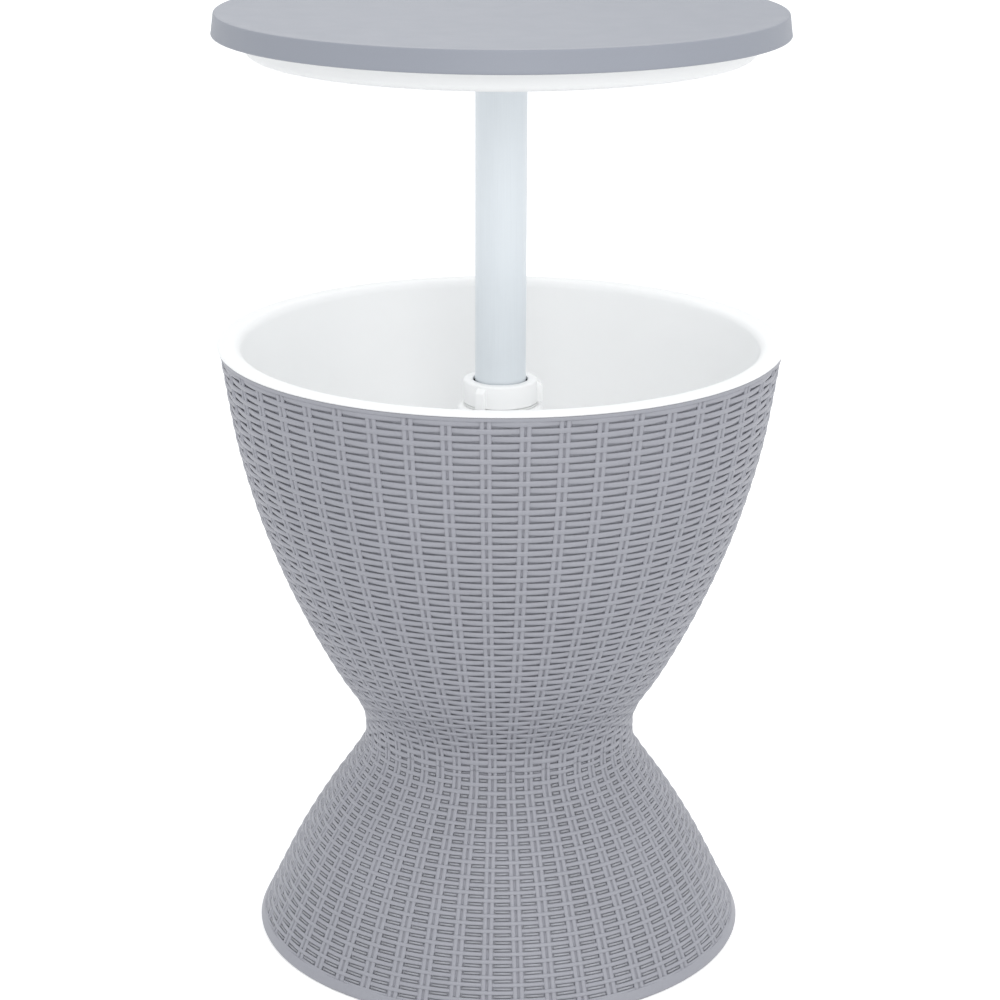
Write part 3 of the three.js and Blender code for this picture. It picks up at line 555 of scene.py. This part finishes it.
def strand_end(name, points):
    """The outline of a strand's end, an edge ring with all its points selected in edit mode."""
    mesh = bpy.data.meshes.new(name)
    mesh.from_pydata(points, [(i, (i + 1) % len(points)) for i in range(len(points))], [])
    piece = bpy.data.objects.new(name, mesh)
    bpy.context.scene.collection.objects.link(piece)
    alone(piece)
    bpy.ops.object.mode_set(mode="EDIT")
    bpy.ops.mesh.select_all(action="SELECT")
    return piece


def flat_weaver(name, width, thickness, over, under, start, up):
    """One wave of a weaver, drawn flat: over a pair of stakes, and in a sharp dip under the next,
    below the groove between its two stakes. It stays shallow until it meets their sides."""
    piece = strand_end(name, [(start, over + (outwards - 0.5) * thickness, up + across * width)
                              for across, outwards in weaver_section])
    heights = [abs(math.cos(math.pi * step / (2 * wave_steps))) ** dip_sharpness
               for step in range(2 * wave_steps + 1)]
    for height, next_height in zip(heights, heights[1:]):
        drop = (over - under) * (next_height - height)
        bpy.ops.mesh.extrude_region_move(
            TRANSFORM_OT_translate={"value": (1.0 / wave_steps, drop, 0.0)})
    bpy.ops.object.mode_set(mode="OBJECT")
    return piece


def weaver_rows(name, rows, first_up, width, thickness, over, under, start):
    """Every other row of weavers on one part of the body."""
    piece = flat_weaver(name, width, thickness, over, under, start, first_up)
    repeated(piece, pair_count // 2, (2.0, 0.0, 0.0))
    repeated(piece, rows, (0.0, 0.0, 2 * row_pitch))
    return wrapped(piece, lambda across, height, radius: pair_start + across * pair_step)


def stake_width(height):
    """A pair of stakes is drawn in at the waist and broader towards the rim and the floor."""
    heights = [0.0, 0.10, 0.165, 0.188, 0.21, 0.29, 0.36, 0.50, 0.549]
    widths = [0.0106, 0.0100, 0.0094, 0.0086, 0.0084, 0.0094, 0.0098, 0.0100, 0.0103]
    return np.interp(height, heights, widths)


def stakes(name, low, high, steps, crest, thickness):
    """The pairs of stakes on one part of the body, one pair drawn flat and repeated."""
    start, end = along_side(low), along_side(high)
    piece = strand_end(name, [(across / 2, crest + (outwards - 0.5) * thickness, start)
                              for across, outwards in pair_section])
    for step in range(steps):
        bpy.ops.mesh.extrude_region_move(
            TRANSFORM_OT_translate={"value": (0.0, 0.0, (end - start) / steps)})
    bpy.ops.mesh.select_all(action="SELECT")
    bpy.ops.mesh.fill_holes(sides=len(pair_section))
    bpy.ops.object.mode_set(mode="OBJECT")
    repeated(piece, pair_count, (1.0, 0.0, 0.0))

    def beside_pair(across, height, radius):
        pair = np.round(across)
        return pair_start + pair * pair_step + (across - pair) * 2 * stake_width(height) / radius
    return wrapped(piece, beside_pair)


bowl_start = along_side(bowl_first_row) - (bowl_rows - 1) * row_pitch
bowl_weave = dict(width=0.0052, thickness=0.0020, over=0.0, under=-0.0025)
bowl_strands = []
for parity in range(2):
    # counted from the rim: row 0 is under the pair at the start, row 1 over it
    from_rim = (bowl_rows - 1 - parity) % 2
    bowl_weavers = weaver_rows(f"bowl_weavers_{'ab'[parity]}", (bowl_rows - parity + 1) // 2,
                               bowl_start + parity * row_pitch, start=1.0 - from_rim, **bowl_weave)
    finished(bowl_weavers, woven_plastic, "base", "grey_plastic", "upper_shell")
    bowl_strands.append(bowl_weavers)
bowl_stakes = stakes("bowl_stakes", deck_high, bowl_top_z - 0.003, 90, -0.0004, 0.0020)
bowl_strands.append(finished(bowl_stakes, woven_plastic, "base", "grey_plastic", "upper_shell"))

foot_weave = dict(width=0.0039, thickness=0.0019, over=0.0, under=-0.0025)
for parity in range(2):
    foot_weavers = weaver_rows(f"foot_weavers_{'ab'[parity]}", (foot_rows - parity + 1) // 2,
                               foot_start + parity * row_pitch, start=float(parity), **foot_weave)
    finished(foot_weavers, woven_plastic, "base", "grey_plastic", "lower_shell")
foot_stakes = stakes("foot_stakes", base_band - 0.002, deck_high, 50, -0.0005, 0.0020)
finished(foot_stakes, woven_plastic, "base", "grey_plastic", "lower_shell")

# in the foot each pocket between two rows is filled by a small bar with drafted sides
bar_middle = -0.0022
bar_crest = -0.0009
bar_size = (0.90, 0.0026, 0.0019)
bar_gap = 0.0008
bar_up = foot_start + row_pitch / 2
bpy.ops.object.select_all(action="DESELECT")
bpy.ops.mesh.primitive_cube_add(size=1.0, location=(0.5, bar_middle, bar_up))
pocket_bars = bpy.context.object
pocket_bars.name = "foot_pocket_bars"
pocket_bars.scale = bar_size
bpy.ops.object.transform_apply(location=True, rotation=True, scale=True)
bpy.ops.object.mode_set(mode="EDIT")
bpy.ops.mesh.select_all(action="DESELECT")
bpy.ops.object.mode_set(mode="OBJECT")
for face in pocket_bars.data.polygons:
    face.select = face.normal.y > 0.9
bpy.ops.object.mode_set(mode="EDIT")
bpy.ops.transform.resize(value=(0.96, 1.0, 0.84), center_override=(0.5, bar_crest, bar_up))
bpy.ops.object.mode_set(mode="OBJECT")
repeated(pocket_bars, pair_count, (1.0, 0.0, 0.0))
repeated(pocket_bars, foot_rows - 1, (0.0, 0.0, row_pitch))


def between_pairs(across, height, radius):
    """Angles of the pockets: they narrow as the stakes broaden, with a dark line beside them."""
    cell = np.floor(across)
    pocket = radius * pair_step - stake_width(height) - bar_gap
    return pair_start + (cell + 0.5) * pair_step + (across - cell - 0.5) * pocket / radius


pocket_bars = wrapped(pocket_bars, between_pairs)
# the pocket bars' strong clouds make some bars much brighter and others duller in broad patches:
# partly random tone, partly painted highlight
pocket_plastic = moulded_plastic("pocket_grey_painted_highlights", (0.325, 0.33, 0.36), 0.36, clouds=0.8,
                                 flecks=0.10, fleck_scale=420.0, pale=0.06)
finished(pocket_bars, pocket_plastic, "base", "grey_plastic", "lower_shell")


# Bowl: the upper half of the grey body, screwed to the foot through a web at its waist. Its wall
# lies behind the weave and comes out to a plain band under the bucket's rim and to the drain boss.
bowl_recess = 0.0027
rim_band = 0.0033
rim_width = 0.004
web_curve_high = 0.199
web_edge_radius = waist_radius - 0.0073
bowl_wall = turned("bowl_wall", [
    (tube_clear_radius, waist_height),
    *side_of_body(waist_height, bowl_top_z - rim_band - band_step, 80, bowl_recess),
    (float(body_radius(bowl_top_z - rim_band)), bowl_top_z - rim_band),
    (bowl_rim_radius, bowl_top_z),
    (bowl_rim_radius - rim_width, bowl_top_z),
    *side_of_body(bowl_top_z - rim_band, web_curve_high, 40, bowl_recess + shell_wall),
    (web_edge_radius, waist_height + deck_thickness),
    (tube_clear_radius, waist_height + deck_thickness),
])
softened(bowl_wall, shell_edge_round)

# at the back a boss stands out of the weave, square to the wall: the drain's seal sits on its face,
# and the bucket's spout comes out through it
drain_tilt = math.radians(27.0)
drain_sides = 48
drain_axis = Vector((0.0, math.cos(drain_tilt), -math.sin(drain_tilt)))
seal_low_corner, seal_high_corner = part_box("drain_seal")
boss_radius = 0.019
boss_depth = 0.009
boss_hole_radius = 0.01075
boss_under_seal = 0.0011
cut_radius = (boss_radius + boss_hole_radius) / 2
boss_face = (seal_low_corner + seal_high_corner) / 2 - drain_axis * boss_under_seal


def on_drain(name, outline):
    """A ring turned round the drain's axis: its heights run outwards from the boss's face."""
    piece = turned(name, outline, steps=drain_sides)
    piece.rotation_euler = (-math.pi / 2 - drain_tilt, 0.0, 0.0)
    piece.location = boss_face
    return softened(settled(piece), 0.0)


def bored(piece, radius, inwards):
    """A round hole through a wall behind the boss, on the drain's axis."""
    bpy.ops.object.select_all(action="DESELECT")
    bpy.ops.mesh.primitive_cylinder_add(
        vertices=drain_sides, radius=radius, depth=inwards,
        location=boss_face - drain_axis * inwards / 2,
        rotation=(-math.pi / 2 - drain_tilt, 0.0, 0.0))
    drill = bpy.context.object
    alone(piece)
    hole = piece.modifiers.new("drain_hole", "BOOLEAN")
    hole.operation = "DIFFERENCE"
    hole.solver = "EXACT"
    hole.object = drill
    bpy.ops.object.modifier_apply(modifier=hole.name)
    bpy.data.objects.remove(drill)
    return piece


def ended_in_boss(strands):
    """Strands stop inside the boss: what lies nearer the drain's axis is cut away and closed."""
    centres = np.empty(len(strands.data.polygons) * 3)
    strands.data.polygons.foreach_get("center", centres)
    outwards = centres.reshape(-1, 3) - np.array(boss_face)
    along = outwards @ np.array(drain_axis)
    aside = np.linalg.norm(outwards - along[:, None] * np.array(drain_axis), axis=1)
    near = (aside < cut_radius) & (np.abs(along) < 2 * boss_depth)
    alone(strands)
    bpy.ops.object.mode_set(mode="EDIT")
    bpy.ops.mesh.select_all(action="DESELECT")
    bpy.ops.object.mode_set(mode="OBJECT")
    strands.data.polygons.foreach_set("select", near)
    bpy.ops.object.mode_set(mode="EDIT")
    bpy.ops.mesh.delete(type="FACE")
    bpy.ops.mesh.select_all(action="SELECT")
    bpy.ops.mesh.fill_holes(sides=0)
    bpy.ops.object.mode_set(mode="OBJECT")


for strands in bowl_strands:
    ended_in_boss(strands)
bored(bowl_wall, cut_radius, 2 * boss_depth)
finished(bowl_wall, woven_plastic, "base", "grey_plastic", "upper_shell")
drain_boss = on_drain("drain_boss", [
    (boss_hole_radius, -boss_depth),
    (boss_radius, -boss_depth),
    (boss_radius, -0.0010),
    (boss_radius - 0.0003, -0.0003),
    (boss_radius - 0.0010, 0.0),
    (boss_hole_radius + 0.0004, 0.0),
    (boss_hole_radius, -0.0004),
])
finished(drain_boss, woven_plastic, "base", "grey_plastic", "upper_shell")


# Bucket liner: one white moulding with the rim flange, the bucket's wall and floor and the column
# that the guide tube stands in. It hangs in the bowl by its rim, with foam behind it.
rim_top_z = 0.5522
rim_radius = 0.2494
flange_thickness = 0.003
mouth_radius = 0.228
mouth_round = 0.008
floor_z = 0.2622
floor_round = 0.014
liner_wall = 0.0025
insulation_gap = 0.021
column_top_z = 0.4927
column_foot_radius = 0.052
column_top_radius = 0.038
column_foot_round = 0.0055
column_top_round = 0.005
floor_start_radius = 0.060


def bucket_radius(height):
    return float(body_radius(height)) - insulation_gap


def rounded(centre, size, from_angle, to_angle, steps):
    """Points of an arc in the plane of radius and height, angles in degrees from outwards."""
    angles = np.radians(np.linspace(from_angle, to_angle, steps + 1))
    return [(centre[0] + size * math.cos(angle), centre[1] + size * math.sin(angle))
            for angle in angles]


corner_radius = bucket_radius(floor_z + floor_round) - floor_round
corner = (corner_radius, floor_z + floor_round)
mouth_low = rim_top_z - mouth_round
flange_edge = 0.0012
flange_low = rim_top_z - flange_thickness
wall_high, wall_low = 0.525, floor_z + 0.022
column_taper = column_foot_radius - column_top_radius
column_rise = column_top_z - floor_z - 2 * column_foot_round
inner_wall = [(bucket_radius(height), height) for height in np.linspace(wall_high, wall_low, 24)]
liner = turned("bucket_liner_shell", [
    (rim_radius - flange_edge, rim_top_z),
    *rounded((mouth_radius + mouth_round, mouth_low), mouth_round, 90.0, 180.0, 8),
    *inner_wall,
    *rounded(corner, floor_round, 0.0, -90.0, 8),
    (floor_start_radius, floor_z),
    *rounded((column_foot_radius + column_foot_round, floor_z + column_foot_round),
             column_foot_round, -90.0, -180.0, 5),
    *[(column_foot_radius - column_taper * part, floor_z + column_foot_round + column_rise * part)
      for part in np.linspace(0.05, 0.97, 8)],
    *rounded((column_top_radius - column_top_round, column_top_z - column_top_round),
             column_top_round, 0.0, 90.0, 5),
    (tube_clear_radius, column_top_z),
    (tube_clear_radius, column_top_z - liner_wall),
    (column_top_radius - 0.0035, column_top_z - 0.008),
    (column_foot_radius - liner_wall, floor_z - liner_wall),
    (corner_radius, floor_z - liner_wall),
    *rounded(corner, floor_round + liner_wall, -90.0, 0.0, 6),
    *[(radius + liner_wall, height) for radius, height in reversed(inner_wall)],
    (mouth_radius + liner_wall, flange_low - 0.004),
    (mouth_radius + liner_wall + 0.004, flange_low),
    (rim_radius - flange_edge, flange_low),
    (rim_radius, flange_low + flange_edge),
    (rim_radius, rim_top_z - flange_edge),
])
white_edge_round = 0.0003
softened(liner, white_edge_round)
white_plastic = moulded_plastic("white_bucket_plastic", (0.945, 0.95, 0.95), 0.40, spread=0.10,
                                clouds=0.012, flecks=0.012, fleck_scale=700.0, pale=0.02,
                                grain=1400.0, grain_depth=0.00002, sheen=0.3)
spout_radius = 0.0105
spout_bore = 0.008
spout_start = -0.0217
spout_end = 0.0087
bore_depth = 0.034
bored(liner, spout_bore, bore_depth)
finished(liner, white_plastic, "base", "white_plastic", "bucket_liner")
spout = on_drain("bucket_spout", [
    (spout_bore, spout_start),
    (spout_radius, spout_start),
    (spout_radius, spout_end - 0.0006),
    (spout_radius - 0.0006, spout_end),
    (spout_bore + 0.0005, spout_end),
    (spout_bore, spout_end - 0.0005),
])
finished(spout, white_plastic, "base", "white_plastic", "bucket_liner")


# Pole: a satin anodised aluminium tube, drawn, so it has fine lines along its length. It is
# pressed into the socket under the top and closed below by the locking foot.
pole_radius = 0.0225
pole_inner = 0.0207
pole_low_corner, pole_high_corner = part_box("pole_tube")
pole_edge = 0.0006
pole = turned("pole_sleeve", [
    (pole_radius, pole_low_corner.z + pole_edge),
    *[(pole_radius, height)
      for height in np.linspace(pole_low_corner.z + 0.01, pole_high_corner.z - 0.01, 6)],
    (pole_radius, pole_high_corner.z - pole_edge),
    (pole_radius - pole_edge, pole_high_corner.z),
    (pole_inner, pole_high_corner.z),
    (pole_inner, pole_low_corner.z),
    (pole_radius - pole_edge, pole_low_corner.z),
], steps=96)
softened(pole, 0.0)

# drawn aluminium: noise stretched along the tube shades, dulls and scores it in fine lines
line_stretch = 0.012
line_scale = 1600.0
line_depth = 0.00002
anodised = bpy.data.materials.new("satin_anodised_tube")
anodised.use_nodes = True
nodes, links = anodised.node_tree.nodes, anodised.node_tree.links
surface = nodes["Principled BSDF"].inputs
surface["Metallic"].default_value = 0.25
place = nodes.new("ShaderNodeTexCoord")
stretch = nodes.new("ShaderNodeMapping")
stretch.inputs["Scale"].default_value = (1.0, 1.0, line_stretch)
links.new(place.outputs["Object"], stretch.inputs["Vector"])
lines = nodes.new("ShaderNodeTexNoise")
lines.inputs["Scale"].default_value = line_scale
lines.inputs["Detail"].default_value = 3.0
links.new(stretch.outputs["Vector"], lines.inputs["Vector"])


def from_lines(low, high):
    """The drawing lines as a value between two limits."""
    between = nodes.new("ShaderNodeMapRange")
    between.inputs["To Min"].default_value = low
    between.inputs["To Max"].default_value = high
    links.new(lines.outputs["Fac"], between.inputs["Value"])
    return between.outputs["Result"]


metal = nodes.new("ShaderNodeVectorMath")
metal.operation = "SCALE"
metal.inputs[0].default_value = (0.73, 0.775, 0.81)
links.new(from_lines(0.96, 1.04), metal.inputs["Scale"])
links.new(metal.outputs["Vector"], surface["Base Color"])
links.new(from_lines(0.30, 0.44), surface["Roughness"])
in_relief(anodised, lines.outputs["Fac"], line_depth)
finished(pole, anodised, "table", "aluminium", "pole_tube")


# Table top: a grey moulded disc with a low raised lip and a draughted skirt, matt with a fine
# grain so that glasses don't slide. Its ribs and screw bosses are hidden by the dish under it.
top_radius = 0.247
overall_height = 0.840
surface_z = 0.8384
skirt_bottom_z = 0.8212
disc_thickness = 0.0034
middle_radius = 0.150
edge_round = 0.0014
skirt_foot_round = 0.0012
skirt_foot_width = 0.003
lip_outer = top_radius - 0.0023
lip_rise = [(0.222, 0.0), (0.229, 0.0002), (0.235, 0.0008), (0.239, 0.0013)]
table_disc = turned("table_disc", [
    (middle_radius, surface_z),
    *[(radius, surface_z + rise) for radius, rise in lip_rise],
    *rounded((lip_outer - edge_round, overall_height - edge_round), edge_round, 90.0, 4.0, 6),
    (top_radius - 0.0004, skirt_bottom_z + 0.0028),
    *rounded((top_radius - skirt_foot_round, skirt_bottom_z + skirt_foot_round),
             skirt_foot_round, 0.0, -90.0, 4),
    (top_radius - skirt_foot_width, skirt_bottom_z),
    (top_radius - 0.0053, surface_z - 0.0065),
    (top_radius - 0.0083, surface_z - disc_thickness),
    (middle_radius, surface_z - disc_thickness),
], closed=False)
softened(table_disc, 0.0)
top_plastic = moulded_plastic("matt_top_plastic", (0.283, 0.300, 0.345), 0.48, spread=0.10,
                              clouds=0.03, flecks=0.05, fleck_scale=900.0, pale=0.05,
                              grain=1500.0, grain_depth=0.00005)
finished(table_disc, top_plastic, "table", "grey_plastic", "table_top")


# Dish: the white moulding under the top, screwed to its bosses. It closes the bucket when the
# top is down, and stiffens it.
lid_radius = 0.2245
pan_bottom_z = 0.8030
pan_wall = 0.0025
pan_flange_low = 0.8236
pan_flange_high = 0.8261
pan_corner = 0.009
pan_low_radius = lid_radius - 0.0045
pan_flange_radius = 0.241
pan_flat_radius = 0.120
pan_hole_radius = pole_radius + 0.0006
pan_corner_centre = (pan_low_radius - pan_corner, pan_bottom_z + pan_corner)
dish = turned("lid_dish", [
    (pan_hole_radius, pan_bottom_z),
    (pan_flat_radius, pan_bottom_z),
    *rounded(pan_corner_centre, pan_corner, -90.0, -12.0, 8),
    (lid_radius - 0.0006, pan_flange_low - 0.003),
    (lid_radius + 0.002, pan_flange_low),
    (pan_flange_radius, pan_flange_low),
    (pan_flange_radius, pan_flange_high),
    (lid_radius - pan_wall, pan_flange_high),
    *rounded(pan_corner_centre, pan_corner - pan_wall, -12.0, -90.0, 6),
    (pan_hole_radius, pan_bottom_z + pan_wall),
])
softened(dish, white_edge_round)
finished(dish, white_plastic, "table", "white_plastic", "lid_pan")


# Collar: the white ring nut that holds the guide tube in the column, with three grips to turn it
# by. The pole comes up through its hole, and the dark acetal bush shows in the gap; its dark colour
# also stands in for the shade in that gap, painted shade.
collar_top_z = 0.5160
collar_low_z = 0.4953
collar_bore = 0.03045
collar_outer = 0.03285
collar_hole = 0.0245
collar_round = 0.0018
hole_round = 0.0007
collar_roof = 0.0035
collar = turned("collar_ring", [
    (collar_bore, collar_low_z),
    (collar_outer, collar_low_z),
    *rounded((collar_outer - collar_round, collar_top_z - collar_round), collar_round,
             0.0, 90.0, 5),
    *rounded((collar_hole + hole_round, collar_top_z - hole_round), hole_round, 90.0, 180.0, 3),
    (collar_hole, collar_top_z - collar_roof),
    (collar_bore, collar_top_z - collar_roof),
], steps=96)
grip_inner = collar_outer - 0.0012
grip_outer = collar_outer + 0.0045
grip_width = 0.009
grip_count = 3
grips = [upright_plate("collar_grip", [
    (grip_inner, collar_low_z),
    (grip_outer, collar_low_z),
    (grip_outer, collar_top_z - 0.0061),
    (grip_inner, collar_top_z - 0.0016),
], grip_width, 2 * math.pi * k / grip_count) for k in range(grip_count)]
softened(joined(collar, *grips), 0.0008, segments=3)
finished(collar, white_plastic, "base", "white_plastic", "column_collar")


# Pieces that keep their CAD shape: the guide tube and its fittings, the socket under the top, the
# screws and pins, and the drain. They get rounded edges and the finish of their material.
# dark acetal for the dark plastic parts; on the guide bush under the collar the dark colour is
# partly painted shade for the gap round the pole
dark_acetal_and_gap_shade = moulded_plastic("dark_acetal_and_gap_shade", (0.045, 0.047, 0.052), 0.42, clouds=0.10,
                              flecks=0.12, fleck_scale=600.0, pale=0.5, grain=1100.0)
milky_silicone = moulded_plastic("milky_silicone", (0.70, 0.71, 0.70), 0.55, grain=700.0)
plain_grey = moulded_plastic("plain_grey_plastic", (0.40, 0.41, 0.455), 0.5, clouds=0.06,
                             flecks=0.06, pale=0.08)
zinc = bpy.data.materials.new("zinc_plated_steel")
zinc.use_nodes = True
surface = zinc.node_tree.nodes["Principled BSDF"].inputs
surface["Metallic"].default_value = 1.0
gloss = effect(zinc, patchy_gloss, Roughness=0.36, Spread=0.25)
tone = effect(zinc, moulded_tone, Pigment=(0.58, 0.59, 0.60, 1.0), Clouds=0.15, Flecks=0.15)
zinc.node_tree.links.new(gloss["Roughness"], surface["Roughness"])
zinc.node_tree.links.new(tone["Color"], surface["Base Color"])
in_relief(zinc, effect(zinc, fine_grain)["Height"], 0.00002)

finish_of_slot = {"dark_plastic": dark_acetal_and_gap_shade, "rubber": milky_silicone,
                  "grey_plastic": plain_grey, "white_plastic": white_plastic,
                  "zinc_steel": zinc, "aluminium": anodised}
fitting_edge_round = 0.0003
fitting_edge_angle = math.radians(30.0)
for subpart in frame["record"]["subparts"]:
    node = frame["nodes"][subpart["node"]]
    if node.hide_render:
        continue
    finish = finish_of_slot[subpart["material_slot"]]
    if not node.material_slots:
        node.data.materials.append(finish)
    for material_slot in node.material_slots:
        material_slot.material = finish
    round_edges = node.modifiers.new("rounded_edges", "BEVEL")
    round_edges.width = fitting_edge_round
    round_edges.segments = 2
    round_edges.limit_method = "ANGLE"
    round_edges.angle_limit = fitting_edge_angle
